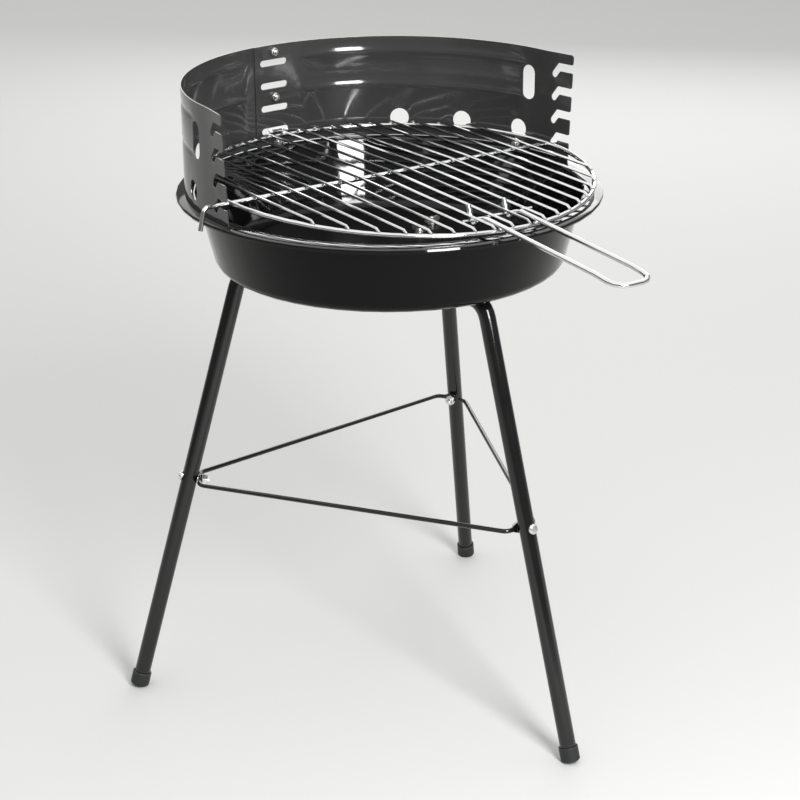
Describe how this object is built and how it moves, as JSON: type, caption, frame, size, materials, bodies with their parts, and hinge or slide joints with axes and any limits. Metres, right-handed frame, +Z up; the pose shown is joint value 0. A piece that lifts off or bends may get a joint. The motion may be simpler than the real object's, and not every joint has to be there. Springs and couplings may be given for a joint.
{
  "type": "round charcoal grill",
  "caption": "Round charcoal grill: enamelled bowl on bent tube legs with a rod spreader, a notched wind shield and a wire grid with a lift handle.",
  "frame": {"origin": "on the ground, under the middle of the grill's bounding box", "axes": "+Z up, -Y out along the lift handle (the front), +X to the right seen from the front"},
  "size_m": [0.418, 0.4924, 0.5473],
  "materials": {
    "bowl_enamel": "glossy black enamel",
    "shield_enamel": "semi-gloss dark grey enamel",
    "black_paint": "satin black stove paint",
    "chromed_wire": "bright chrome plating",
    "zinc_plating": "bright zinc plating",
    "cap_plastic": "matt dark grey plastic"
  },
  "bodies": {
    "grill_body": {"bowl": "bowl_enamel", "wind_shield_right": "shield_enamel", "wind_shield_left": "shield_enamel", "leg_front": "black_paint", "leg_right": "black_paint", "leg_left": "black_paint", "foot_cap_front": "cap_plastic", "foot_cap_right": "cap_plastic", "foot_cap_left": "cap_plastic", "spreader_rod_front": "black_paint", "spreader_rod_right": "black_paint", "spreader_rod_left": "black_paint", "lap_screw_lower": "zinc_plating", "lap_nut_lower": "zinc_plating", "lap_screw_upper": "zinc_plating", "lap_nut_upper": "zinc_plating", "shield_foot_screw_right": "zinc_plating", "shield_foot_nut_right": "zinc_plating", "shield_foot_screw_lap": "zinc_plating", "shield_foot_nut_lap": "zinc_plating", "shield_foot_screw_left": "zinc_plating", "shield_foot_nut_left": "zinc_plating", "spreader_bolt_front": "zinc_plating", "spreader_nut_front": "zinc_plating", "leg_bolt_front_1": "zinc_plating", "wing_nut_front_1": "zinc_plating", "leg_bolt_front_2": "zinc_plating", "wing_nut_front_2": "zinc_plating", "spreader_bolt_right": "zinc_plating", "spreader_nut_right": "zinc_plating", "leg_bolt_right_1": "zinc_plating", "wing_nut_right_1": "zinc_plating", "leg_bolt_right_2": "zinc_plating", "wing_nut_right_2": "zinc_plating", "spreader_bolt_left": "zinc_plating", "spreader_nut_left": "zinc_plating", "leg_bolt_left_1": "zinc_plating", "wing_nut_left_1": "zinc_plating", "leg_bolt_left_2": "zinc_plating", "wing_nut_left_2": "zinc_plating"},
    "grid": {"grill_grid": "chromed_wire"},
    "handle": {"lift_handle": "chromed_wire", "handle_lever_wire": "chromed_wire"}
  },
  "joints": [
    {"name": "grid_lift", "type": "hinge", "parent": "grill_body", "child": "grid", "pos_m": [0.00906, 0.23815, 0.602], "axis": [-1, 0, 0], "range_deg": [0, 1.5]},
    {"name": "handle_swing", "type": "hinge", "parent": "grid", "child": "handle", "pos_m": [0.00584, -0.07081, 0.46183], "axis": [-0.9997, 0.0236, 0], "range_deg": [0, 75]}
  ]
}
